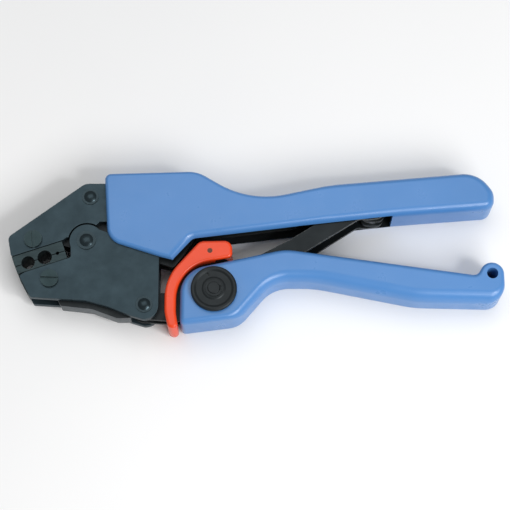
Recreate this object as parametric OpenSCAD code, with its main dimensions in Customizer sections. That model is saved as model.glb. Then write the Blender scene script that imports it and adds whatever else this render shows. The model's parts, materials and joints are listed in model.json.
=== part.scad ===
// Ratchet crimping tool, lying on its side.
// +X runs along the tool towards the handle ends, +Y towards the fixed upper
// handle, and +Z is up, away from the surface that the tool lies on.
// Outlines are drawn about the jaw pivot, with Z = 0 at the middle of the tool.

/* [Pivots] */
// Handle pivot on the moving jaw, along X from the jaw pivot
handle_pivot_x = 28.5; // [28:0.1:29]
// Handle pivot on the moving jaw, along Y from the jaw pivot
handle_pivot_y = -32; // [-32.4:0.1:-31.6]
// Toggle pin, along X from the jaw pivot
toggle_x = 61.7; // [61.4:0.1:62]
// Toggle pin, along Y from the jaw pivot
toggle_y = -25.5; // [-25.8:0.1:-25.2]
// Anchor pin of the toggle link, along X from the jaw pivot
anchor_x = 138.5; // [138:0.1:139]
// Anchor pin of the toggle link, along Y from the jaw pivot
anchor_y = 15.5; // [15:0.1:16]

/* [Head] */
// Half of the head's thickness, to the outside of the jaw plates
head_half = 8; // [7.9:0.05:8.1]
// Half of the thickness of both cores, to the outside of their plates
core_half = 4.2; // [4:0.05:4.3]
// Thickness of one core plate
core_sheet = 2; // [1.5:0.1:2.5]
// Side clearance between parts that turn against each other
side_gap = 0.3; // [0.2:0.05:0.4]
// Slope of the closed jaw faces, in degrees
jaw_slope = 18.8; // [18.5:0.1:19]
// Gap between the closed die faces
die_gap = 0.3; // [0.3:0.05:0.5]
// Radius of the larger crimp nest
large_nest_r = 3.4; // [3.2:0.1:3.5]
// Radius of the middle crimp nest
middle_nest_r = 3.15; // [3:0.05:3.3]
// Radius of the small crimp nest
small_nest_r = 0.8; // [0.5:0.1:1.2]
// Radius of the die screw heads
die_screw_head_r = 4.3; // [4:0.1:4.6]

/* [Handles] */
// Half of the thickness of the handle covers
cover_half = 11; // [10.9:0.1:12]
// Wall thickness of the handle covers
cover_wall = 2.4; // [2:0.1:2.6]
// Half of the width of the space inside the covers
cavity_half = 8.4; // [8.3:0.05:8.5]
// Radius of the hang hole
hang_hole_r = 2.7; // [2:0.1:3]

/* [Toggle and ratchet] */
// Half of the outer width of the toggle link
link_half = 7.7; // [7.5:0.1:7.8]
// Sheet thickness of the toggle link
link_sheet = 1.8; // [1.5:0.1:2]
// Radius of the toggle pin
toggle_pin_r = 4; // [3.6:0.1:4.2]
// Radius of the adjusting wheel
wheel_r = 11; // [9:0.1:11.5]
// Thickness of the adjusting wheel
wheel_t = 2.5; // [2:0.1:3]
// Number of ratchet teeth
ratchet_teeth = 11; // [8:1:14]
// Half of the release lever's width
lever_half = 9.7; // [9.5:0.1:9.9]

/* [Hidden] */

// Facets of round parts, and degrees of arc between the points of a rounded corner
$fn = 64;
arc_step = 9;
running_fit = 0.05;
// Extra depth that a cut reaches past a face
past = 1;

jaw_pivot = [0, 0];
handle_pivot = [handle_pivot_x, handle_pivot_y];
toggle = [toggle_x, toggle_y];
anchor = [anchor_x, anchor_y];
lever_pivot = [59.6, -5.6];
pawl_pivot = [51.2, -35];

// Shift that puts the middle of the tool's underside at the origin
middle_x = 81.45;
middle_y = -4.45;

jaw_gap_half = core_half + side_gap;
jaw_pivot_r = 3.5;
handle_pivot_r = 3;
anchor_pin_r = 1.8;
lever_pin_r = 1.2;
pawl_pin_r = 1.2;

// Dies: the parting line runs through the middle of the large nest
nest_at = [-19.9, -8.3];
nest_pitch = 8.3;
small_nest_s = 6.4;
die_front_s = -17;
die_back_s = 10.2;
tang_depth = 14.5;
upper_screw = [-25.7, 0.6];
lower_screw = [-17.1, -19.2];
die_screw_r = 2.5;

hang_hole = [194.6, -17.3];

wheel_base = cover_half + 0.2;
link_inner = link_half - link_sheet;
sector_root_r = 6.4;
sector_tip_r = 7.8;

// Corners of the closed outlines, each [x, y, corner radius], counter-clockwise
fixed_jaw_corners = [
    [-37.9, 1.7, 3], [-36, -8.1, 1], [-11.6, 0.2, 1.5], [-9.6, 1.6, 0], [0, 3, 0],
    [6, 9.6, 0], [30, 9.6, 2], [30, 29.1, 3], [-1.5, 29.1, 6]
];
moving_jaw_corners = [
    [-31.8, -17.7, 1], [-26, -28.3, 1.5], [0.5, -30, 20], [10.5, -32.8, 14], [22, -37.4, 8],
    [28, -39.2, 2], [35.3, -39.2, 6.8], [35.1, -4.4, 2], [3, 6.6, 0], [0, 0, 0],
    [-7.7, -1.5, 0], [-7.3, -8.4, 1.2], [-29.2, -15.9, 1]
];
frame_core_corners = [
    [-37.2, 1.4, 2], [-12.4, -1.2, 0.5], [-6, -3, 0], [1, -8.4, 3], [35.2, -10.4, 3],
    [42, -12.7, 1.5], [47, -6, 3], [52.5, 3.2, 4], [101, 9.4, 20], [124, 19.4, 8],
    [131.5, 18, 3], [134, 11, 3], [143, 11, 3], [147, 21, 4], [165, 22.8, 2], [165, 28, 2],
    [119, 24, 40], [87, 18.6, 20], [66, 22.7, 20], [53, 30.8, 10], [10, 29.6, 0],
    [4, 28.2, 0], [-1.8, 28.2, 5]
];
handle_core_corners = [
    [28.5, -38.2, 0], [44, -39.3, 4], [66, -36.6, 8], [74.2, -34, 5], [87.5, -17.7, 14],
    [108, -17, 30], [168, -26.8, 2], [169, -19, 2], [96, -8.8, 12], [72, -11.2, 1],
    [66, -7.6, 2], [64, -0.9, 4], [54.8, -0.9, 4], [54.5, -11.6, 3], [44.4, -14, 10],
    [43.9, -24.9, 2], [28.5, -25.8, 0]
];
spacer_block_corners = [
    [-14.5, -26.3, 1], [-11.6, -31.7, 1], [3.5, -33.4, 10], [15.5, -37.9, 4], [21.9, -37.7, 0.5],
    [21.9, -31, 1], [4, -25.5, 2]
];
upper_cover_corners = [
    [8, 33.6, 3], [10.3, -0.2, 9], [35.5, -8.4, 12], [42.2, -10.1, 1.2], [51.8, 0.6, 4],
    [100, 6.6, 40], [150, 12.3, 80], [197.3, 16, 5], [197.6, 24.5, 8], [190, 34.6, 14], [118.9, 28.3, 90],
    [78.9, 19.5, 44], [53.2, 34.9, 15]
];
lower_cover_corners = [
    [45.5, -42.6, 2.5], [74.1, -38.9, 12], [89.9, -20.3, 17], [109.3, -20.3, 60],
    [158, -30.2, 60], [200.4, -31.2, 8.5], [200.4, -11.5, 5.75], [191.27, -11.5, 5.75],
    [187.7, -17.7, 3], [95.7, -4.7, 25], [45.6, -15.7, 14]
];
// Space that the toggle link and the frame need in the upper cover's lower side
upper_mouth_corners = [
    [5, 31, 0], [5, -4, 0], [43, -16, 0], [53, -6, 0], [100, 0, 0], [147.9, 6, 0],
    [147.9, 16, 0], [100, 12, 0], [53.2, 6.8, 0], [43.2, -4.2, 0], [14, 3, 0], [12, 31, 0]
];
// Space that the toggle link sweeps in the lower cover's upper side
lower_mouth_corners = [[59.7, -18, 0], [104, -16, 0], [110, -2, 0], [59.7, -2, 0]];
// Way for the handle core through the lower cover's front wall
core_way_corners = [
    [42, -39.7, 0], [52, -39.2, 0], [60, -16, 0], [73, -14, 0], [73, -6, 0], [42, -6, 0]
];
link_corners = [
    [56.2, -30.6, 4], [64.6, -32.3, 6], [106, -5.3, 10], [131.8, 11.1, 3], [136, 10.8, 3],
    [144.8, 11.9, 5], [144.4, 21, 5], [133, 22.6, 5], [98.5, 0.7, 30], [63, -18.2, 8],
    [53.8, -21.2, 5]
];
// Strip along the link's upper edge where its web joins the two flanges
link_web_corners = [
    [89.2, -6.3, 0], [99.4, -0.9, 0], [118, 10.8, 0], [116, 14, 0], [97, 3, 0], [86.2, -3, 0]
];
lever_corners = [
    [40.1, -43.9, 2.5], [44.9, -43.9, 2.2], [43.6, -36, 15], [43.6, -13.4, 19], [70.4, -8.6, 2.4],
    [70.2, -0.3, 4], [54.6, -0.6, 5], [38.1, -19.4, 24], [38.2, -36, 15]
];

// Outline helpers
function xy(p) = [p[0], p[1]];
function unit(v) = v / norm(v);
function previous(list, i) = list[(i + len(list) - 1) % len(list)];
function next(list, i) = list[(i + 1) % len(list)];
// Left-hand normal of the edge from a to b, which points inwards
function inward(a, b) = let (d = unit(xy(b) - xy(a))) [-d[1], d[0]];

// Points of the arc that rounds corner b between its neighbours a and c
function corner_arc(a, b, c) =
    let (
        u = unit(xy(a) - xy(b)),
        v = unit(xy(c) - xy(b)),
        half = acos(u * v) / 2,
        r = b[2],
        centre = xy(b) + unit(u + v) * r / sin(half),
        from = xy(b) + u * r / tan(half) - centre,
        to = xy(b) + v * r / tan(half) - centre,
        start = atan2(from[1], from[0]),
        sweep = (atan2(to[1], to[0]) - start + 540) % 360 - 180,
        steps = max(1, ceil(abs(sweep) / arc_step))
    )
    [for (i = [0 : steps]) centre + r * [cos(start + sweep * i / steps), sin(start + sweep * i / steps)]];

function rounded(corners) = [
    for (i = [0 : len(corners) - 1])
        each corners[i][2] > 0
            ? corner_arc(previous(corners, i), corners[i], next(corners, i))
            : [xy(corners[i])]
];

// The same outline, moved inwards by d on every side
function inset(corners, d) = [
    for (i = [0 : len(corners) - 1])
        let (
            before = inward(previous(corners, i), corners[i]),
            after = inward(corners[i], next(corners, i)),
            turn = before[0] * after[1] - before[1] * after[0],
            moved = xy(corners[i]) + (before + after) * d / (1 + before * after),
            r = turn > 0 ? max(corners[i][2] - d, 0.2) : corners[i][2] + d
        )
        [moved[0], moved[1], r]
];

// Shape helpers
module outline(corners) {
    polygon(rounded(corners));
}

module slab(z_low, z_high) {
    translate([0, 0, z_low]) linear_extrude(z_high - z_low) children();
}

module round_bar(at, r, z_low, z_high) {
    translate([at[0], at[1], z_low]) cylinder(r = r, h = z_high - z_low);
}

// A hole right through everything at one place
module bore(at, r) {
    round_bar(at, r, -30, 30);
}

module mirror_far() {
    mirror([0, 0, 1]) children();
}

// Domed head that stands on a face at height z
module rivet_head(at, z, flange_r, dome_r) {
    flange_h = 0.5;
    dome_h = 0.9;
    ball_r = (dome_r * dome_r + dome_h * dome_h) / (2 * dome_h);
    round_bar(at, flange_r, z, z + flange_h);
    translate([at[0], at[1], z + flange_h])
        intersection() {
            cylinder(r = dome_r, h = dome_h);
            translate([0, 0, dome_h - ball_r]) sphere(r = ball_r, $fn = 96);
        }
}

module spacer(at, outer_r, inner_r, half_h) {
    difference() {
        round_bar(at, outer_r, -half_h, half_h);
        bore(at, inner_r);
    }
}

// Stack of closed coils about a Z axis, each touching the next
module coils(at, coil_r, wire_r, count, z_first) {
    for (i = [0 : count - 1])
        translate([at[0], at[1], z_first + i * wire_r * 1.9])
            rotate_extrude() translate([coil_r, 0]) circle(r = wire_r, $fn = 24);
}

// Straight spring leg that leaves a coil, in the direction of angle
module leg(at, angle, start, length, wire_r, z) {
    translate([at[0], at[1], z]) rotate([0, 0, angle]) translate([start, 0, 0])
        rotate([0, 90, 0]) cylinder(r = wire_r, h = length, $fn = 24);
}

// Places children with X along the parting line and Y square to it
module in_die_frame() {
    translate([nest_at[0], nest_at[1], 0]) rotate([0, 0, jaw_slope]) children();
}

module nests() {
    in_die_frame() {
        bore([0, 0], large_nest_r);
        bore([-nest_pitch, 0], middle_nest_r);
        bore([small_nest_s, 0], small_nest_r);
    }
}

// Rectangle in the die frame, s along the parting line and n square to it
module die_block(s_low, s_high, n_low, n_high, half_t) {
    in_die_frame()
        translate([s_low, n_low, -half_t]) cube([s_high - s_low, n_high - n_low, 2 * half_t]);
}

// Region in front of which the head is cut off, on both jaws
module head_front() {
    slab(-20, 20)
        polygon([[-37.3, 0], [-36.1, -7.3], [-33.9, -13.2], [-31.4, -19.4], [-28.6, -24.6],
                 [-25.9, -28.3], [10, -40], [10, 20], [-30, 12]]);
}

module slotted_screw(at, slot_angle, head_z) {
    head_h = 1.3;
    slot_w = 1.2;
    slot_depth = 0.8;
    difference() {
        union() {
            round_bar(at, die_screw_head_r, head_z, head_z + head_h);
            round_bar(at, die_screw_r, -head_half, head_z);
        }
        translate([at[0], at[1], head_z + head_h - slot_depth])
            rotate([0, 0, slot_angle])
                translate([-slot_w / 2, -die_screw_head_r - past, 0])
                    cube([slot_w, 2 * die_screw_head_r + 2 * past, slot_depth + past]);
    }
}

// Frame
head_rivet_at = [[1.2, 22.2], [23, 20]];
frame_rivet_at = [[52, 14], [88, 13.4], [155, 23.6]];

module fixed_jaw_plate() {
    difference() {
        slab(core_half, head_half) outline(fixed_jaw_corners);
        bore(jaw_pivot, 8.9);
        bore(upper_screw, die_screw_r);
        for (at = head_rivet_at) bore(at, 2.5);
    }
}

module fixed_jaw_plate_near() {
    color([0.25, 0.29, 0.31]) fixed_jaw_plate();
}

module fixed_jaw_plate_far() {
    color([0.25, 0.29, 0.31]) mirror_far() fixed_jaw_plate();
}

module frame_core_plate() {
    difference() {
        slab(core_half - core_sheet, core_half) outline(frame_core_corners);
        die_block(die_front_s - 8, die_back_s - 2, -12, tang_depth, 20);
        die_block(die_front_s, die_back_s + 0.3, -12, 5.5, 20);
        bore(jaw_pivot, jaw_pivot_r);
        bore(anchor, anchor_pin_r);
        for (at = head_rivet_at) bore(at, 2.5);
        for (at = frame_rivet_at) bore(at, 2);
    }
}

module frame_core_near() {
    color([0.2, 0.22, 0.24]) frame_core_plate();
}

module frame_core_far() {
    color([0.2, 0.22, 0.24]) mirror_far() frame_core_plate();
}

module frame_spacers() {
    half_h = core_half - core_sheet;
    color([0.45, 0.46, 0.47]) {
        spacer(jaw_pivot, 6.5, jaw_pivot_r, half_h);
        spacer(anchor, 3.8, anchor_pin_r, half_h);
        for (at = head_rivet_at) spacer(at, 4.5, 2.5, half_h);
        for (at = frame_rivet_at) spacer(at, 3.6, 2, half_h);
    }
}

module head_rivets() {
    color([0.3, 0.34, 0.36]) {
        round_bar(head_rivet_at[0], 2.5, -head_half, head_half);
        rivet_head(head_rivet_at[0], head_half, 3.9, 3);
        mirror_far() rivet_head(head_rivet_at[0], head_half, 3.9, 3);
        round_bar(head_rivet_at[1], 2.5, -head_half, head_half);
    }
}

module frame_rivets() {
    color([0.3, 0.34, 0.36])
        for (at = frame_rivet_at) {
            round_bar(at, 2, -core_half, core_half);
            round_bar(at, 3.2, core_half, core_half + 1);
            round_bar(at, 3.2, -core_half - 1, -core_half);
        }
}

module jaw_pivot_rivet() {
    color([0.3, 0.34, 0.36]) {
        round_bar(jaw_pivot, jaw_pivot_r, -head_half - 0.1, head_half + 0.1);
        rivet_head(jaw_pivot, head_half + 0.1, 4.5, 3.3);
        mirror_far() rivet_head(jaw_pivot, head_half + 0.1, 4.5, 3.3);
    }
}

module upper_die() {
    color([0.33, 0.35, 0.36])
        difference() {
            intersection() {
                union() {
                    die_block(die_front_s - 4, die_back_s, die_gap / 2, 5.2, head_half - 0.6);
                    die_block(die_front_s - 8, die_back_s - 2.2, 1, tang_depth - 0.2, core_half);
                }
                head_front();
            }
            nests();
            bore(upper_screw, die_screw_r);
        }
}

module upper_die_screw() {
    color([0.28, 0.33, 0.35]) slotted_screw(upper_screw, 6, head_half);
}

module link_anchor_pin() {
    color([0.5, 0.52, 0.54]) round_bar(anchor, anchor_pin_r, -8.1, 8.1);
}

module upper_handle_cover() {
    color([0.38, 0.57, 0.81])
        difference() {
            slab(-cover_half, cover_half) outline(upper_cover_corners);
            slab(-cavity_half, cavity_half) outline(inset(upper_cover_corners, cover_wall));
            slab(-cavity_half, cavity_half) outline(upper_mouth_corners);
        }
}

// Moving jaw
jaw_dowel_at = [[-6, -27.7], [11, -30.4]];
jaw_dowel_r = 1.3;
jaw_dowel_half = 6.5;

module jaw_dowel_pair() {
    for (at = jaw_dowel_at) round_bar(at, jaw_dowel_r, -jaw_dowel_half, jaw_dowel_half);
}

module moving_jaw_plate() {
    difference() {
        union() {
            slab(jaw_gap_half, head_half) outline(moving_jaw_corners);
            round_bar(jaw_pivot, 8.2, jaw_gap_half, head_half);
        }
        bore(jaw_pivot, jaw_pivot_r + running_fit);
        bore(handle_pivot, handle_pivot_r);
        bore(lower_screw, die_screw_r);
        jaw_dowel_pair();
    }
}

module moving_jaw_plate_near() {
    color([0.27, 0.31, 0.33]) moving_jaw_plate();
}

module moving_jaw_plate_far() {
    color([0.27, 0.31, 0.33]) mirror_far() moving_jaw_plate();
}

module jaw_spacer_block() {
    color([0.42, 0.44, 0.45])
        difference() {
            slab(-jaw_gap_half, jaw_gap_half) outline(spacer_block_corners);
            jaw_dowel_pair();
        }
}

module jaw_dowels() {
    color([0.27, 0.31, 0.33]) jaw_dowel_pair();
}

module lower_die() {
    color([0.33, 0.35, 0.36])
        difference() {
            intersection() {
                union() {
                    die_block(die_front_s - 4, die_back_s, -3.9, -die_gap / 2, head_half - 0.6);
                    die_block(die_front_s - 8, die_back_s - 1, -tang_depth, -1, jaw_gap_half);
                }
                head_front();
            }
            nests();
            bore(lower_screw, die_screw_r);
        }
}

module lower_die_screw() {
    color([0.28, 0.33, 0.35]) slotted_screw(lower_screw, 88, head_half);
}

module handle_pivot_rivet() {
    color([0.3, 0.34, 0.36]) {
        round_bar(handle_pivot, handle_pivot_r, -head_half, head_half);
        rivet_head(handle_pivot, head_half, 3.9, 3);
        mirror_far() rivet_head(handle_pivot, head_half, 3.9, 3);
    }
}

// Moving handle
handle_rivet_at = [[100, -13.4], [128, -17.6], [160, -22]];

module handle_core_plate() {
    difference() {
        slab(core_half - core_sheet, core_half)
            difference() {
                union() {
                    outline(handle_core_corners);
                    translate(handle_pivot) circle(r = 6.3);
                }
            }
        bore(handle_pivot, handle_pivot_r + running_fit);
        bore(toggle, toggle_pin_r + running_fit);
        bore(lever_pivot, lever_pin_r);
        bore(pawl_pivot, pawl_pin_r);
        for (at = handle_rivet_at) bore(at, 2);
    }
}

module handle_core_near() {
    color([0.24, 0.25, 0.27]) handle_core_plate();
}

module handle_core_far() {
    color([0.24, 0.25, 0.27]) mirror_far() handle_core_plate();
}

module handle_spacers() {
    half_h = core_half - core_sheet;
    color([0.45, 0.46, 0.47]) {
        spacer(handle_pivot, 5.5, handle_pivot_r + running_fit, half_h);
        spacer(toggle, 7, toggle_pin_r + running_fit, half_h);
        spacer(pawl_pivot, 3, pawl_pin_r, half_h);
        for (at = handle_rivet_at) spacer(at, 3.4, 2, half_h);
    }
}

module handle_rivets() {
    color([0.3, 0.34, 0.36])
        for (at = handle_rivet_at) {
            round_bar(at, 2, -core_half, core_half);
            round_bar(at, 3, core_half, core_half + 1);
            round_bar(at, 3, -core_half - 1, -core_half);
        }
}

module lower_handle_cover() {
    color([0.38, 0.57, 0.81])
        difference() {
            slab(-cover_half, cover_half) outline(lower_cover_corners);
            intersection() {
                slab(-cavity_half, cavity_half) outline(inset(lower_cover_corners, cover_wall));
                translate([40, -60, -20]) cube([140, 80, 40]);
            }
            slab(-cavity_half, cavity_half) outline(lower_mouth_corners);
            slab(-jaw_gap_half, jaw_gap_half) outline(core_way_corners);
            bore(hang_hole, hang_hole_r);
            round_bar(toggle, toggle_pin_r + 0.3, 0, cover_half + past);
            round_bar(toggle, 6.3, -cover_half - past, 0);
        }
}

module lever_pin() {
    color([0.4, 0.2, 0.12]) round_bar(lever_pivot, lever_pin_r, -lever_half, lever_half);
}

module lever_spring() {
    wire_r = 0.45;
    color([0.6, 0.6, 0.6]) {
        coils(lever_pivot, 2, wire_r, 3, -wire_r * 1.9);
        leg(lever_pivot, 205, 1.9, 6.2, wire_r, -wire_r * 1.9);
        leg(lever_pivot, 285, 1.9, 9, wire_r, wire_r * 1.9);
    }
}

module pawl_pin() {
    color([0.5, 0.52, 0.54]) round_bar(pawl_pivot, pawl_pin_r, -core_half, 6.2);
}

module pawl_spring() {
    wire_r = 0.3;
    coil_z = 6.1;
    color([0.6, 0.6, 0.6]) {
        coils(pawl_pivot, 1.6, wire_r, 2, coil_z);
        leg(pawl_pivot, -20, 1.5, 5.5, wire_r, coil_z);
    }
}

module opening_spring() {
    wire_r = 0.6;
    coil_z = -core_half - wire_r - 0.2;
    color([0.6, 0.6, 0.6]) {
        coils(toggle, 5.4, wire_r, 1, coil_z);
        leg(toggle, -40, 5.2, 8, wire_r, coil_z);
    }
}

// Adjuster
module toggle_pin() {
    color([0.2, 0.21, 0.22])
        difference() {
            union() {
                round_bar(toggle, toggle_pin_r, -cover_half + 0.1, wheel_base);
                round_bar(toggle, 2.9, wheel_base, wheel_base + wheel_t + 0.9);
                round_bar(toggle, 6, -cover_half + 0.1, -cavity_half - 0.2);
            }
            translate([toggle_x - 4, toggle_y - 0.6, -cover_half - past]) cube([8, 1.2, 2]);
        }
}

module adjusting_wheel() {
    mark_at = 8.6;
    color([0.17, 0.19, 0.2])
        difference() {
            round_bar(toggle, wheel_r, wheel_base, wheel_base + wheel_t);
            bore(toggle, 2.9);
            translate([toggle_x, toggle_y, wheel_base + wheel_t - 0.5])
                rotate([0, 0, 112])
                    translate([mark_at - 1.2, -0.4, 0]) cube([2.4, 0.8, 2]);
        }
}

module wheel_retaining_ring() {
    ring_z = wheel_base + wheel_t;
    color([0.12, 0.13, 0.14])
        difference() {
            round_bar(toggle, 4.1, ring_z, ring_z + 0.5);
            bore(toggle, 2.9);
            translate([toggle_x, toggle_y - 1, ring_z - past]) cube([6, 2, 3]);
        }
}

// Toggle link
link_hole_shift = [-0.8, 0.15];
link_hole_r = anchor_pin_r + 1.2;

module toggle_link() {
    color([0.2, 0.21, 0.22])
        difference() {
            union() {
                slab(link_inner, link_half) outline(link_corners);
                slab(-link_half, -link_inner) outline(link_corners);
                slab(-link_inner, link_inner)
                    intersection() {
                        outline(link_corners);
                        outline(link_web_corners);
                    }
            }
            bore(toggle, toggle_pin_r + running_fit);
            bore(anchor + link_hole_shift, link_hole_r);
            for (at = sector_rivet_at) bore(at, 0.8);
        }
}

sector_rivet_at = [toggle + [4.9, 2.2], toggle + [0.2, 5.4]];

module ratchet_sector() {
    first_tooth = 162;
    tooth_pitch = 9;
    color([0.45, 0.46, 0.47])
        difference() {
            slab(jaw_gap_half, link_inner)
                union() {
                    translate(toggle) circle(r = sector_root_r);
                    for (i = [0 : ratchet_teeth - 1])
                        translate(toggle) rotate(first_tooth + i * tooth_pitch)
                            polygon([
                                [sector_root_r - 1, 0],
                                [sector_tip_r, 0.1],
                                [sector_root_r * cos(tooth_pitch), sector_root_r * sin(tooth_pitch)],
                                [sector_root_r - 1.2, 0.9]
                            ]);
                }
            bore(toggle, toggle_pin_r + running_fit);
            for (at = sector_rivet_at) bore(at, 0.8);
        }
}

module sector_rivets() {
    color([0.5, 0.52, 0.54])
        for (at = sector_rivet_at) round_bar(at, 0.8, jaw_gap_half, link_half);
}

// Release lever
module release_lever() {
    color([0.95, 0.38, 0.2])
        difference() {
            slab(-lever_half, lever_half) outline(lever_corners);
            // Room for the handle core between the cheeks
            slab(-jaw_gap_half, jaw_gap_half)
                polygon([[30, -41.1], [50, -41.1], [50, -20], [75, -20], [75, 5], [52.6, 5],
                         [52.6, -6.5], [44.5, -16], [42, -23.6], [30, -23.6]]);
            // Room for the toggle link inside the rear of the cheeks
            slab(-link_half - side_gap, link_half + side_gap)
                polygon([[61.9, -20], [80, -20], [80, 5], [64.5, 5], [64.5, -4.2], [61.9, -10.2]]);
            bore(lever_pivot, lever_pin_r + running_fit);
        }
}

// Pawl
module ratchet_pawl() {
    tip_reach = 8.3;
    color([0.5, 0.52, 0.54])
        difference() {
            slab(jaw_gap_half, link_inner - side_gap) {
                translate(pawl_pivot) circle(r = 2.3);
                polygon([
                    pawl_pivot + [-1.9, 1],
                    pawl_pivot + [1.9, 1],
                    toggle + tip_reach * [cos(199), sin(199)],
                    toggle + tip_reach * [cos(191), sin(191)],
                    pawl_pivot + [-0.9, 7.2]
                ]);
            }
            bore(pawl_pivot, pawl_pin_r + running_fit);
        }
}

// Moves a sub-part from the jaw pivot's frame to the tool's own frame
module place() {
    translate([-middle_x, -middle_y, cover_half]) children();
}

place() fixed_jaw_plate_near();
place() fixed_jaw_plate_far();
place() frame_core_near();
place() frame_core_far();
place() frame_spacers();
place() head_rivets();
place() frame_rivets();
place() jaw_pivot_rivet();
place() upper_die();
place() upper_die_screw();
place() link_anchor_pin();
place() upper_handle_cover();
place() moving_jaw_plate_near();
place() moving_jaw_plate_far();
place() jaw_spacer_block();
place() jaw_dowels();
place() lower_die();
place() lower_die_screw();
place() handle_pivot_rivet();
place() handle_core_near();
place() handle_core_far();
place() handle_spacers();
place() handle_rivets();
place() lower_handle_cover();
place() lever_pin();
place() lever_spring();
place() pawl_pin();
place() pawl_spring();
place() opening_spring();
place() toggle_pin();
place() adjusting_wheel();
place() wheel_retaining_ring();
place() toggle_link();
place() ratchet_sector();
place() sector_rivets();
place() release_lever();
place() ratchet_pawl();
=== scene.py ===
"""Ratchet crimping tool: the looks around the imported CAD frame.

Outlines are in millimetres about the jaw pivot, with Z = 0 at the middle of the tool, as in the
part's source. to_row() moves them into the row frame, in metres.
"""

import json
import math

import bmesh
import bpy
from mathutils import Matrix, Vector


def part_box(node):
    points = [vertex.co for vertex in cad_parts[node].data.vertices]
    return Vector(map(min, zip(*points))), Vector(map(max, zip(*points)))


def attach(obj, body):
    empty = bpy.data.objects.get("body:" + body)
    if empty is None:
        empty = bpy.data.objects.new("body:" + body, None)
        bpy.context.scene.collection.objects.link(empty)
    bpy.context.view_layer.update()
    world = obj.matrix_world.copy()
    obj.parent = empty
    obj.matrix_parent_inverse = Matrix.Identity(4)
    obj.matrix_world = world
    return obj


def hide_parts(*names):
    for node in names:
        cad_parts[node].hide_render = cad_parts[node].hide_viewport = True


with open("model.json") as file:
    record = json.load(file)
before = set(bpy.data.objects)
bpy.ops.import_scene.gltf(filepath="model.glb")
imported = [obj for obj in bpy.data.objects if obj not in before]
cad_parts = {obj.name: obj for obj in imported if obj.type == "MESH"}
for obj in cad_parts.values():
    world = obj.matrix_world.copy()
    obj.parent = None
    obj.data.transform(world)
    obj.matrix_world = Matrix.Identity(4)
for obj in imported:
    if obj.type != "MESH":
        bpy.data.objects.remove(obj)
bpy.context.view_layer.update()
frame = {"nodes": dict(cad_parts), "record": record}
NODES = frame["nodes"]

MM = 0.001
# Half thicknesses along Z
COVER_HALF = 11.0
CAVITY_HALF = 8.4
LINK_ROOM_HALF = 8.0
LEVER_HALF = 9.7
CORE_HALF = 4.5
# How far from the middle a cutter has to reach to go right through
THROUGH = 20
# The jaw pivot's place in the row frame, from the rivet that stands on it
_low, _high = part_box("jaw_pivot_rivet")
JAW_PIVOT = Vector(((_low.x + _high.x) / 2, (_low.y + _high.y) / 2, (_low.z + _high.z) / 2))
_low, _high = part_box("adjusting_wheel")
WHEEL = (_low + _high) / 2
WHEEL_BASE, WHEEL_TOP = _low.z, _high.z
TOGGLE = (61.7, -25.5)
TOGGLE_BORE_R = 4.3
TOGGLE_HEAD_RECESS_R = 6.3
NOTCH_ANGLE = math.radians(112)
HANG_HOLE = (194.6, -17.3)
HANG_HOLE_R = 2.7
LEVER_PIN_PLACE = (59.6, -5.6)
LEVER_PIN_HOLE_R = 1.25

# The rounding of the covers' face edges, the lever's likewise, and the covers' side wall
COVER_EDGE_DEPTH, COVER_EDGE_RISE = 2.6, 3.2
LEVER_EDGE_DEPTH, LEVER_EDGE_RISE = 1.3, 1.3
COVER_WALL = 2.4
# The lower cover's hollow stops here, and what the wall's outline does from the lug on is left out
LOWER_CAVITY_END = 180.0
LOWER_LUG_START = 186


def to_row(x, y, z):
    """A point in the jaw pivot's frame, in millimetres, as a vector in the row frame, in metres."""
    return Vector((JAW_PIVOT.x + x * MM, JAW_PIVOT.y + y * MM, JAW_PIVOT.z + z * MM))


# ---------------------------------------------------------------- outlines
# Corners are (x, y, corner radius, edge roll). The roll says how far the rounding of the face's
# edge reaches in from the side that starts at this corner, as a multiple of the common depth.
UPPER_COVER = [
    (8, 33.6, 3, 0.7), (10.3, -0.2, 9, 0.7), (35.5, -8.4, 12, 0.7), (42.2, -10.1, 1.2, 1.6),
    (51.8, 0.6, 4, 1.3), (100, 6.6, 40, 1.4), (150, 12.3, 80, 1.4), (197.3, 16, 5, 1.4),
    (197.6, 24.5, 8, 1.3), (190, 34.6, 14, 1.1), (118.9, 28.3, 90, 0.9), (78.9, 19.5, 44, 0.8),
    (53.2, 34.9, 15, 0.7),
]
LOWER_COVER = [
    (45.5, -42.6, 2.5, 1.0), (74.1, -38.9, 12, 1.7), (89.9, -20.3, 17, 1.9),
    (109.3, -20.3, 60, 2.1), (158, -30.2, 60, 2.1), (200.4, -31.2, 8.5, 0.7),
    (200.4, -11.5, 5.75, 0.7), (191.27, -11.5, 5.75, 0.7), (187.7, -17.7, 3, 1.0),
    (95.7, -4.7, 25, 1.0), (45.6, -15.7, 14, 1.0),
]
UPPER_MOUTH = [
    (5, 31), (5, -4), (43, -16), (53, -6), (100, 0), (147.9, 6),
    (147.9, 16), (100, 12), (53.2, 6.8), (43.2, -4.2), (14, 3), (12, 31),
]
LOWER_MOUTH = [(59.7, -18), (104, -16), (110, -2), (59.7, -2)]
CORE_WAY = [(42, -39.7), (52, -39.2), (60, -16), (73, -14), (73, -6), (42, -6)]
LEVER = [
    (40.1, -43.9, 2.5, 1.0), (44.9, -43.9, 2.2, 1.0), (43.6, -36, 15, 1.0), (43.6, -13.4, 19, 1.0),
    (70.4, -8.6, 2.4, 1.0), (70.2, -0.3, 4, 1.0), (54.6, -0.6, 5, 1.0), (38.1, -19.4, 24, 1.0),
    (38.2, -36, 15, 1.0),
]
LEVER_CORE_ROOM = [
    (30, -41.1), (50, -41.1), (50, -20), (75, -20), (75, 5), (52.6, 5), (52.6, -6.5),
    (44.5, -16), (42, -23.6), (30, -23.6),
]
LEVER_LINK_ROOM = [(61.9, -20), (80, -20), (80, 5), (64.5, 5), (64.5, -4.2), (61.9, -10.2)]


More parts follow.
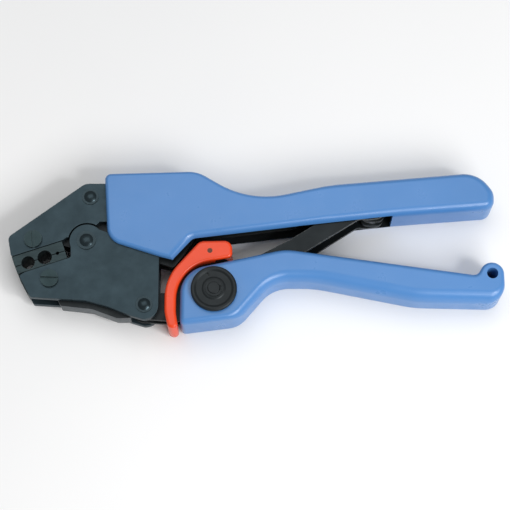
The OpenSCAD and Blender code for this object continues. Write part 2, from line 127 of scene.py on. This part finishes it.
def moved_inwards(corners, depth):
    """The same corners with every side moved inwards by depth times its own roll."""
    count = len(corners)
    sides = []
    for i, (x, y, _, roll) in enumerate(corners):
        nx, ny = corners[(i + 1) % count][:2]
        along = Vector((nx - x, ny - y)).normalized()
        sides.append((Vector((-along.y, along.x)), roll * depth))
    result = []
    for i, (x, y, r, roll) in enumerate(corners):
        n1, s1 = sides[i - 1]
        n2, s2 = sides[i]
        turn = n1.x * n2.y - n1.y * n2.x
        # The point that lies s1 inside the first side and s2 inside the second
        point_x = x + (s1 * n2.y - s2 * n1.y) / turn
        point_y = y + (n1.x * s2 - n2.x * s1) / turn
        inward = (s1 + s2) / 2
        result.append((point_x, point_y, max(r - inward, 0.25) if turn > 0 else r + inward, roll))
    return result


def rounded(corners, steps=None):
    """Points of the outline with round corners, each with its edge roll, and the points per corner."""
    count = len(corners)
    points, taken = [], []
    for i, (x, y, r, roll) in enumerate(corners):
        here = Vector((x, y))
        u = (Vector(corners[i - 1][:2]) - here).normalized()
        v = (Vector(corners[(i + 1) % count][:2]) - here).normalized()
        half = math.acos(max(-1, min(1, u.dot(v)))) / 2
        centre = here + (u + v).normalized() * r / math.sin(half)
        a = here + u * r / math.tan(half) - centre
        b = here + v * r / math.tan(half) - centre
        start = math.atan2(a.y, a.x)
        sweep = (math.atan2(b.y, b.x) - start + 3 * math.pi) % (2 * math.pi) - math.pi
        n = steps[i] if steps else max(3, math.ceil(abs(sweep) / math.radians(4)))
        taken.append(n)
        for k in range(n + 1):
            angle = start + sweep * k / n
            p = centre + r * Vector((math.cos(angle), math.sin(angle)))
            points.append((p.x, p.y, corners[i - 1][3] + (roll - corners[i - 1][3]) * k / n))
    return points, taken


# ---------------------------------------------------------------- mesh helpers
def new_object(name, data):
    made = bpy.data.objects.new(name, data)
    bpy.context.scene.collection.objects.link(made)
    return made


def from_bmesh(name, bm):
    """Ends a bmesh and puts it into the scene, its faces outwards."""
    data = bpy.data.meshes.new(name)
    bmesh.ops.recalc_face_normals(bm, faces=bm.faces)
    bm.to_mesh(data)
    bm.free()
    return new_object(name, data)


def rolled_slab(name, corners, half, depth, rise, rings=10):
    """A slab of an outline whose face edges roll over: depth in from the side, rise along Z.

    Both grow with the roll of the side that the edge belongs to.
    """
    bm = bmesh.new()
    _, taken = rounded(corners)
    turns = [math.pi / 2 * k / rings for k in range(rings + 1)]
    levels = [(t, -1) for t in reversed(turns)] + [(t, 1) for t in turns]
    loops = []
    for turn, side in levels:
        points, _ = rounded(moved_inwards(corners, depth * (1 - math.cos(turn))), taken)
        loops.append([bm.verts.new(to_row(x, y, side * (half - rise * roll * (1 - math.sin(turn)))))
                      for x, y, roll in points])
    for low, high in zip(loops, loops[1:]):
        for i in range(len(low)):
            j = (i + 1) % len(low)
            bm.faces.new((low[i], low[j], high[j], high[i]))
    bm.faces.new(list(reversed(loops[0])))
    bm.faces.new(loops[-1])
    return from_bmesh(name, bm)


def prism(points, z_low, z_high):
    """A cutter with straight sides."""
    bm = bmesh.new()
    low = [bm.verts.new(to_row(p[0], p[1], z_low)) for p in points]
    high = [bm.verts.new(to_row(p[0], p[1], z_high)) for p in points]
    for i in range(len(low)):
        j = (i + 1) % len(low)
        bm.faces.new((low[i], low[j], high[j], high[i]))
    bm.faces.new(list(reversed(low)))
    bm.faces.new(high)
    return from_bmesh("cutter", bm)


def disc_points(centre, radius, count=64):
    """Points around a circle."""
    return [(centre[0] + radius * math.cos(2 * math.pi * i / count),
             centre[1] + radius * math.sin(2 * math.pi * i / count)) for i in range(count)]


def apply_modifiers(piece):
    """Replaces the piece's mesh by what its modifiers make of it."""
    graph = bpy.context.evaluated_depsgraph_get()
    data = bpy.data.meshes.new_from_object(piece.evaluated_get(graph))
    old = piece.data
    piece.modifiers.clear()
    piece.data = data
    data.name = piece.name
    bpy.data.meshes.remove(old)


def cut(piece, other):
    """Takes a cutter out of a piece and removes the cutter."""
    mod = piece.modifiers.new("cut", "BOOLEAN")
    mod.operation = "DIFFERENCE"
    mod.solver = "EXACT"
    mod.object = other
    apply_modifiers(piece)
    bpy.data.objects.remove(other)


def smooth(piece, degrees):
    """Smooth shading, with sharp edges where faces meet at more than this angle."""
    bm = bmesh.new()
    bm.from_mesh(piece.data)
    limit = math.radians(degrees)
    for face in bm.faces:
        face.smooth = abs(face.normal.z) < 0.9999
    for edge in bm.edges:
        edge.smooth = len(edge.link_faces) == 2 and edge.calc_face_angle(0) < limit
    bm.to_mesh(piece.data)
    bm.free()


def clean(piece, gap=0.00002):
    """Joins points that lie closer than gap and drops the faces that collapse."""
    bm = bmesh.new()
    bm.from_mesh(piece.data)
    bmesh.ops.remove_doubles(bm, verts=bm.verts, dist=gap)
    bmesh.ops.dissolve_degenerate(bm, dist=gap / 2, edges=bm.edges)
    bm.to_mesh(piece.data)
    bm.free()


def eased(piece, width):
    """Rounds every edge that turns by more than 35 degrees, width wide."""
    clean(piece)
    bm = bmesh.new()
    bm.from_mesh(piece.data)
    bmesh.ops.dissolve_limit(bm, angle_limit=math.radians(1), verts=bm.verts, edges=bm.edges)
    bm.to_mesh(piece.data)
    bm.free()
    mod = piece.modifiers.new("ease", "BEVEL")
    mod.width = width
    mod.segments = 3
    mod.limit_method = "ANGLE"
    mod.angle_limit = math.radians(35)
    mod.use_clamp_overlap = True
    apply_modifiers(piece)
    smooth(piece, 40)


def eased_copy(node, width):
    """A copy of a CAD node with rounded edges, standing for that node."""
    piece = new_object(node + "_eased", NODES[node].data.copy())
    piece.data.materials.clear()
    eased(piece, width)
    return piece


def finish_piece(piece, body, slot, material, *nodes):
    """Gives a piece its finish and its body, and hides the CAD nodes it stands for."""
    piece.data.materials.clear()
    piece.data.materials.append(material)
    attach(piece, body)
    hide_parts(*nodes)


# ---------------------------------------------------------------- materials
class Shader:
    """A small builder for one node material."""

    def __init__(self, name):
        self.material = bpy.data.materials.new(name)
        self.material.use_nodes = True
        self.tree = self.material.node_tree
        self.out = self.tree.nodes["Principled BSDF"]
        self.place = self.node("ShaderNodeTexCoord").outputs["Object"]

    def node(self, kind, **values):
        made = self.tree.nodes.new(kind)
        for key, value in values.items():
            setattr(made, key, value)
        return made

    def link(self, source, target):
        self.tree.links.new(source, target)

    def noise(self, scale, detail=4, roughness=0.6, stretch=None):
        place = self.place
        if stretch:
            mapping = self.node("ShaderNodeMapping")
            mapping.inputs["Scale"].default_value = stretch
            self.link(place, mapping.inputs["Vector"])
            place = mapping.outputs["Vector"]
        made = self.node("ShaderNodeTexNoise")
        made.inputs["Scale"].default_value = scale
        made.inputs["Detail"].default_value = detail
        made.inputs["Roughness"].default_value = roughness
        self.link(place, made.inputs["Vector"])
        return made.outputs["Fac"]

    def ramp(self, source, stops):
        made = self.node("ShaderNodeValToRGB")
        elements = made.color_ramp.elements
        elements[0].position, elements[0].color = stops[0]
        elements[1].position, elements[1].color = stops[-1]
        for position, color in stops[1:-1]:
            elements.new(position).color = color
        self.link(source, made.inputs["Fac"])
        return made.outputs["Color"]

    def remap(self, source, low, high, to_low, to_high):
        made = self.node("ShaderNodeMapRange")
        for key, value in (("From Min", low), ("From Max", high), ("To Min", to_low), ("To Max", to_high)):
            made.inputs[key].default_value = value
        self.link(source, made.inputs["Value"])
        return made.outputs["Result"]

    def mix(self, factor, a, b):
        made = self.node("ShaderNodeMix", data_type="RGBA")
        self.link(factor, made.inputs[0])
        for source, target in ((a, made.inputs[6]), (b, made.inputs[7])):
            if isinstance(source, tuple):
                target.default_value = source
            else:
                self.link(source, target)
        return made.outputs[2]

    def times(self, a, b):
        made = self.node("ShaderNodeMath", operation="MULTIPLY")
        self.link(a, made.inputs[0])
        if isinstance(b, float):
            made.inputs[1].default_value = b
        else:
            self.link(b, made.inputs[1])
        return made.outputs[0]

    def edges(self, radius, low=0.02, high=0.25):
        """1 along sharp and rounded edges, 0 on faces."""
        bevel = self.node("ShaderNodeBevel", samples=6)
        bevel.inputs["Radius"].default_value = radius
        geometry = self.node("ShaderNodeNewGeometry")
        dot = self.node("ShaderNodeVectorMath", operation="DOT_PRODUCT")
        self.link(bevel.outputs["Normal"], dot.inputs[0])
        self.link(geometry.outputs["Normal"], dot.inputs[1])
        return self.remap(dot.outputs["Value"], 1 - low, 1 - high, 0.0, 1.0)

    def bump(self, source, strength, distance):
        made = self.node("ShaderNodeBump")
        made.inputs["Strength"].default_value = strength
        made.inputs["Distance"].default_value = distance
        self.link(source, made.inputs["Height"])
        self.link(made.outputs["Normal"], self.out.inputs["Normal"])


def shade(color, factor):
    """A colour made darker or lighter, with alpha 1."""
    return tuple(min(1.0, c * factor) for c in color) + (1.0,)


def steel(name, color, rough, metallic=0.85, grain=(1, 1, 1), worn=(0.45, 0.47, 0.48), wear=0.5,
          edge=0.0005, mottle=0.25):
    """Blackened or plain steel: mottled colour, brushed or blasted grain, and bright worn edges."""
    s = Shader(name)
    cloud = s.noise(60, 5, 0.65)
    tones = [(0.3, shade(color, 1 - mottle)), (0.52, shade(color, 1.0)), (0.75, shade(color, 1 + mottle))]
    base = s.ramp(cloud, tones)
    scuff = s.remap(s.noise(900, 3, 0.7), 0.45, 0.62, 0.15, 1.0)
    mask = s.times(s.times(s.edges(edge), scuff), wear)
    s.link(s.mix(mask, base, worn + (1.0,)), s.out.inputs["Base Color"])
    fine = s.noise(2600, 3, 0.6, grain)
    s.link(s.remap(s.noise(180, 4, 0.6, grain), 0.3, 0.7, rough[0], rough[1]), s.out.inputs["Roughness"])
    s.out.inputs["Metallic"].default_value = metallic
    s.bump(fine, 0.08, 0.00006)
    return s.material


def plastic(name, color, light, coat, edge_amount):
    """Satin moulded plastic: faint flow variation, fine moulded texture, edges rubbed lighter."""
    s = Shader(name)
    flow = s.noise(14, 3, 0.5, (1.0, 2.2, 1.0))
    base = s.ramp(flow, [(0.25, shade(color, 0.94)), (0.5, shade(color, 1.0)), (0.8, shade(color, 1.06))])
    rub = s.remap(s.noise(260, 4, 0.7), 0.4, 0.7, 0.3, 1.0)
    mask = s.times(s.times(s.edges(0.0009), rub), edge_amount)
    s.link(s.mix(mask, base, light + (1.0,)), s.out.inputs["Base Color"])
    s.link(s.remap(s.noise(90, 4, 0.6), 0.3, 0.7, 0.26, 0.38), s.out.inputs["Roughness"])
    s.out.inputs["Coat Weight"].default_value = coat
    s.out.inputs["Coat Roughness"].default_value = 0.3
    s.bump(s.noise(700, 2, 0.5), 0.04, 0.0001)
    return s.material


HEAD = steel("head steel", (0.036, 0.058, 0.070), rough=(0.42, 0.54), wear=0.35,
             worn=(0.22, 0.26, 0.28), mottle=0.12)
# Dark core steel, also used as painted shade on the upper cover's inside and on the jaw spacer block's flat
# faces.
CORE_AND_SHADE = steel("core steel and painted shade", (0.014, 0.018, 0.020), rough=(0.4, 0.55), metallic=0.6, wear=0.25,
             worn=(0.14, 0.15, 0.16), mottle=0.15)
PLAIN = steel("plain steel", (0.32, 0.33, 0.34), rough=(0.3, 0.45), metallic=1.0, grain=(1, 8, 1), wear=0.3)
RIVET = steel("rivet steel", (0.024, 0.038, 0.045), rough=(0.24, 0.34), wear=0.2,
              worn=(0.16, 0.19, 0.2), mottle=0.12)
DIE = steel("die steel", (0.030, 0.046, 0.050), rough=(0.36, 0.5), grain=(1, 6, 1), wear=0.3,
            worn=(0.2, 0.23, 0.24), mottle=0.12)
SCREW = steel("screw steel", (0.026, 0.044, 0.048), rough=(0.32, 0.44), wear=0.3,
              worn=(0.2, 0.23, 0.24), mottle=0.12)
SPACER = steel("spacer steel", (0.095, 0.108, 0.117), rough=(0.4, 0.55), metallic=0.6, grain=(1, 1, 6),
               wear=0.3, worn=(0.3, 0.32, 0.33), mottle=0.15)
LINK = steel("link steel", (0.011, 0.015, 0.017), rough=(0.34, 0.46), metallic=0.7, wear=0.7,
             worn=(0.32, 0.33, 0.33), edge=0.0006, mottle=0.15)
# Painted highlight: a lighter steel for the link's rim faces, standing for the light that the flange edges
# catch.
LINK_RIM_HIGHLIGHT = steel("link rim painted highlight steel", (0.075, 0.082, 0.082), rough=(0.36, 0.5), metallic=0.6, wear=0.5,
                 worn=(0.3, 0.31, 0.3), mottle=0.2)
WHEEL_STEEL = steel("wheel steel", (0.011, 0.015, 0.017), rough=(0.36, 0.46), metallic=0.6, wear=0.3,
                    worn=(0.12, 0.14, 0.15), mottle=0.12)
LEVER_PIN = steel("lever pin steel", (0.10, 0.028, 0.012), rough=(0.4, 0.5), metallic=0.2, wear=0.2,
                  worn=(0.3, 0.12, 0.07))
SPRING = steel("spring steel", (0.5, 0.5, 0.5), rough=(0.2, 0.3), metallic=1.0, wear=0.2)
BLUE = plastic("blue plastic", (0.066, 0.212, 0.500), light=(0.26, 0.46, 0.80), coat=0.1, edge_amount=0.07)
ORANGE = plastic("orange plastic", (0.76, 0.052, 0.004), light=(0.95, 0.20, 0.08), coat=0.0, edge_amount=0.2)

LOOKS = {
    "head_steel": HEAD, "core_steel": CORE_AND_SHADE, "plain_steel": PLAIN, "rivet_steel": RIVET, "die_steel": DIE,
    "screw_steel": SCREW, "spacer_steel": SPACER, "link_steel": LINK, "wheel_steel": WHEEL_STEEL,
    "lever_pin_steel": LEVER_PIN, "spring_steel": SPRING, "blue_plastic": BLUE, "orange_plastic": ORANGE,
}
SLOT_OF = {part["node"]: part["material_slot"] for part in frame["record"]["subparts"]}
BODY_OF = {node: body for body, nodes in frame["record"]["behaviour"]["bodies"].items() for node in nodes}


# ---------------------------------------------------------------- the handle covers
def distance_to(outline, x, y):
    """How far a point is from the nearest side of an outline."""
    here = Vector((x, y))
    nearest = 1e9
    for a, b in zip(outline, outline[1:] + outline[:1]):
        side = b - a
        along = max(0.0, min(1.0, (here - a).dot(side) / max(side.length_squared, 1e-9)))
        nearest = min(nearest, (a + along * side - here).length)
    return nearest


def paint_inside_shade(piece, corners, material):
    """Paints shade: faces more than 1 mm inside the outline, within the cavity's height, get the dark
    material, which stands for the shade in the hollow.
    """
    piece.data.materials.append(material)
    outline = [Vector((x, y)) for x, y, _ in rounded(corners)[0]]
    for face in piece.data.polygons:
        place = (face.center - JAW_PIVOT) / MM
        within = abs(place.z) < CAVITY_HALF + 0.01
        if within and distance_to(outline, place.x, place.y) > 1.0:
            face.material_index = 1


def inside_of(corners):
    """The outline of the hollow, one wall's thickness inside a cover's outline."""
    even = [(x, y, r, 1.0) for x, y, r, _ in corners]
    points, _ = rounded(moved_inwards(even, COVER_WALL))
    return [(x, y) for x, y, _ in points]


def upper_cover():
    """The fixed handle's cover, a hollow shell whose inside faces get painted shade (dark core steel)."""
    piece = rolled_slab("upper_cover_shell", UPPER_COVER, COVER_HALF, COVER_EDGE_DEPTH, COVER_EDGE_RISE)
    cut(piece, prism(inside_of(UPPER_COVER), -CAVITY_HALF, CAVITY_HALF))
    cut(piece, prism(UPPER_MOUTH, -CAVITY_HALF, CAVITY_HALF))
    clean(piece)
    smooth(piece, 34)
    finish_piece(piece, "frame", "blue_plastic", BLUE, "upper_handle_cover")
    # Painted shade: the hollow's inside faces take the dark core steel, standing for the shade inside the
    # cover.
    paint_inside_shade(piece, UPPER_COVER, CORE_AND_SHADE)


def lower_cover():
    """The moving handle's cover, with the lug and its hang hole at the rear."""
    piece = rolled_slab("lower_cover_shell", LOWER_COVER, COVER_HALF, COVER_EDGE_DEPTH, COVER_EDGE_RISE)
    cavity = [(min(x, LOWER_CAVITY_END), y) for x, y in inside_of(LOWER_COVER) if x < LOWER_LUG_START]
    cut(piece, prism(cavity, -CAVITY_HALF, CAVITY_HALF))
    cut(piece, prism(LOWER_MOUTH, -CAVITY_HALF, CAVITY_HALF))
    cut(piece, prism(CORE_WAY, -CORE_HALF, CORE_HALF))
    cut(piece, prism(disc_points(HANG_HOLE, HANG_HOLE_R), -THROUGH, THROUGH))
    cut(piece, prism(disc_points(TOGGLE, TOGGLE_BORE_R), 0, THROUGH))
    cut(piece, prism(disc_points(TOGGLE, TOGGLE_HEAD_RECESS_R), -THROUGH, 0))
    clean(piece)
    smooth(piece, 34)
    finish_piece(piece, "moving_handle", "blue_plastic", BLUE, "lower_handle_cover")


def release_lever():
    """The curved orange lever, cut out where the handle's core and the link pass."""
    piece = rolled_slab("release_lever_shell", LEVER, LEVER_HALF, LEVER_EDGE_DEPTH, LEVER_EDGE_RISE, rings=5)
    cut(piece, prism(LEVER_CORE_ROOM, -CORE_HALF, CORE_HALF))
    cut(piece, prism(LEVER_LINK_ROOM, -LINK_ROOM_HALF, LINK_ROOM_HALF))
    cut(piece, prism(disc_points(LEVER_PIN_PLACE, LEVER_PIN_HOLE_R, 32), -THROUGH, THROUGH))
    clean(piece)
    smooth(piece, 34)
    finish_piece(piece, "lever", "orange_plastic", ORANGE, "release_lever")


# ---------------------------------------------------------------- the adjusting wheel
def turned(name, centre, profile, turns=160):
    """A body turned about Z from a closed profile of (radius, height), in metres."""
    bm = bmesh.new()
    loops = []
    for i in range(turns):
        angle = 2 * math.pi * i / turns
        x, y = math.cos(angle), math.sin(angle)
        loops.append([bm.verts.new((centre.x + r * x, centre.y + r * y, z)) for r, z in profile])
    for i in range(turns):
        one, two = loops[i], loops[(i + 1) % turns]
        for k in range(len(profile)):
            m = (k + 1) % len(profile)
            bm.faces.new((one[k], two[k], two[m], one[m]))
    return from_bmesh(name, bm)


def index_notch():
    """A cutter for the short radial notch in the wheel's dish."""
    along = Vector((math.cos(NOTCH_ANGLE), math.sin(NOTCH_ANGLE)))
    across = Vector((-along.y, along.x))
    near, far, half_width, depth = 6.4, 8.3, 0.5, 1.2
    ends = ((near, -half_width), (far, -half_width), (far, half_width), (near, half_width))
    corners = [Vector(TOGGLE) + along * r + across * w for r, w in ends]
    return prism(corners, (WHEEL_TOP - JAW_PIVOT.z) / MM - depth, THROUGH)


def adjusting_wheel():
    """A turned disc with a raised rim, a shallow dish, a hub and one index notch."""
    outer, bore = 11.0 * MM, 2.92 * MM
    top, base = WHEEL_TOP, WHEEL_BASE
    profile = [
        (bore, base), (outer - 0.0004, base), (outer, base + 0.0004), (outer, top - 0.0006),
        (outer - 0.0002, top - 0.0002), (outer - 0.0007, top), (outer - 0.0016, top),
        (outer - 0.0021, top - 0.0002), (outer - 0.0026, top - 0.0004), (0.0057, top - 0.0004),
        (0.0053, top - 0.0002), (0.0049, top - 0.00005), (0.0043, top), (bore + 0.0002, top),
        (bore, top - 0.0002),
    ]
    piece = turned("adjusting_wheel_turned", WHEEL, profile)
    cut(piece, index_notch())
    smooth(piece, 40)
    finish_piece(piece, "adjuster", "wheel_steel", WHEEL_STEEL, "adjusting_wheel")


# ---------------------------------------------------------------- steel pieces with eased edges
# CAD nodes shown as edge-rounded copies, with the rounding's width in millimetres
EASED = {
    "fixed_jaw_plate_near": 0.45, "fixed_jaw_plate_far": 0.45, "moving_jaw_plate_near": 0.45,
    "moving_jaw_plate_far": 0.45, "frame_core_near": 0.2, "frame_core_far": 0.2, "handle_core_near": 0.25,
    "handle_core_far": 0.25, "upper_die": 0.2, "lower_die": 0.2, "upper_die_screw": 0.25,
    "lower_die_screw": 0.25, "jaw_spacer_block": 0.4, "toggle_link": 0.3, "toggle_pin": 0.25,
    "wheel_retaining_ring": 0.12, "ratchet_pawl": 0.12, "ratchet_sector": 0.08,
}


def paint_lit_rim(name, flat_look):
    """Paints light and shade by face direction: the flat faces get flat_look, the rim faces between them
    keep the first finish.
    """
    data = bpy.data.objects[name].data
    data.materials.append(flat_look)
    for face in data.polygons:
        face.material_index = 1 if abs(face.normal.z) > 0.5 else 0


upper_cover()
lower_cover()
release_lever()
adjusting_wheel()
for cad_node, ease in EASED.items():
    piece = eased_copy(cad_node, ease * MM)
    finish_piece(piece, BODY_OF[cad_node], SLOT_OF[cad_node], LOOKS[SLOT_OF[cad_node]], cad_node)
# Painted shade: the spacer block's flat faces take dark steel, standing for the shade under the jaw plates,
# while its rim keeps the lighter spacer steel as its lit face.
paint_lit_rim("jaw_spacer_block_eased", CORE_AND_SHADE)
# Painted highlight: the link's rim faces take a lighter steel than its flat faces.
paint_lit_rim("toggle_link_eased", LINK)
bpy.data.objects["toggle_link_eased"].data.materials[0] = LINK_RIM_HIGHLIGHT
# Every CAD node, shown or replaced, gets the finish of its slot
for cad_node, carried in NODES.items():
    carried.data.materials.clear()
    carried.data.materials.append(LOOKS[SLOT_OF[cad_node]])


# ---------------------------------------------------------------- floor, light and camera
def floor():
    """A pale, faintly mottled ground just under the tool."""
    bpy.ops.mesh.primitive_plane_add(size=6, location=(0, 0, -0.0002))
    plane = bpy.context.active_object
    plane.name = "floor"
    s = Shader("floor paint")
    tone = s.ramp(s.noise(3, 3), [(0.3, (0.86, 0.865, 0.87, 1)), (0.7, (0.9, 0.9, 0.9, 1))])
    s.link(tone, s.out.inputs["Base Color"])
    s.out.inputs["Roughness"].default_value = 0.7
    plane.data.materials.append(s.material)


def softbox(name, place, target, size, power):
    """A rectangular area light at place, turned to face target."""
    data = bpy.data.lights.new(name, "AREA")
    data.shape = "RECTANGLE"
    data.size, data.size_y = size
    data.energy = power
    light = new_object(name, data)
    light.location = place
    light.rotation_euler = (Vector(target) - Vector(place)).to_track_quat("-Z", "Y").to_euler()


def camera():
    """The photograph's view: 17.5 degrees off the tool's side, towards the lower handle."""
    tilt = math.radians(17.5)
    distance = 0.76
    data = bpy.data.cameras.new("camera")
    data.lens = 110.4
    data.sensor_width = 36
    data.clip_start = 0.01
    view = new_object("camera", data)
    target = Vector((-0.0002, -0.0004, COVER_HALF * MM))
    back = Vector((0, -math.sin(tilt), math.cos(tilt)))
    view.location = target + back * distance
    view.rotation_euler = back.to_track_quat("Z", "Y").to_euler()
    bpy.context.scene.camera = view


floor()
softbox("key light", (0.45, -0.55, 0.6), (0, 0, 0), (0.55, 0.4), 4.9)
softbox("top light", (-0.1, 0.35, 1.0), (0, 0, 0), (0.9, 0.7), 3.0)
softbox("glint light", (0.30, -0.22, 0.5), (-0.05, 0, 0), (0.08, 0.08), 0.7)
world = bpy.data.worlds.new("studio")
world.use_nodes = True
world.node_tree.nodes["Background"].inputs["Color"].default_value = (1, 1, 1, 1)
world.node_tree.nodes["Background"].inputs["Strength"].default_value = 0.42
bpy.context.scene.world = world
bpy.context.scene.view_settings.view_transform = "Standard"
camera()
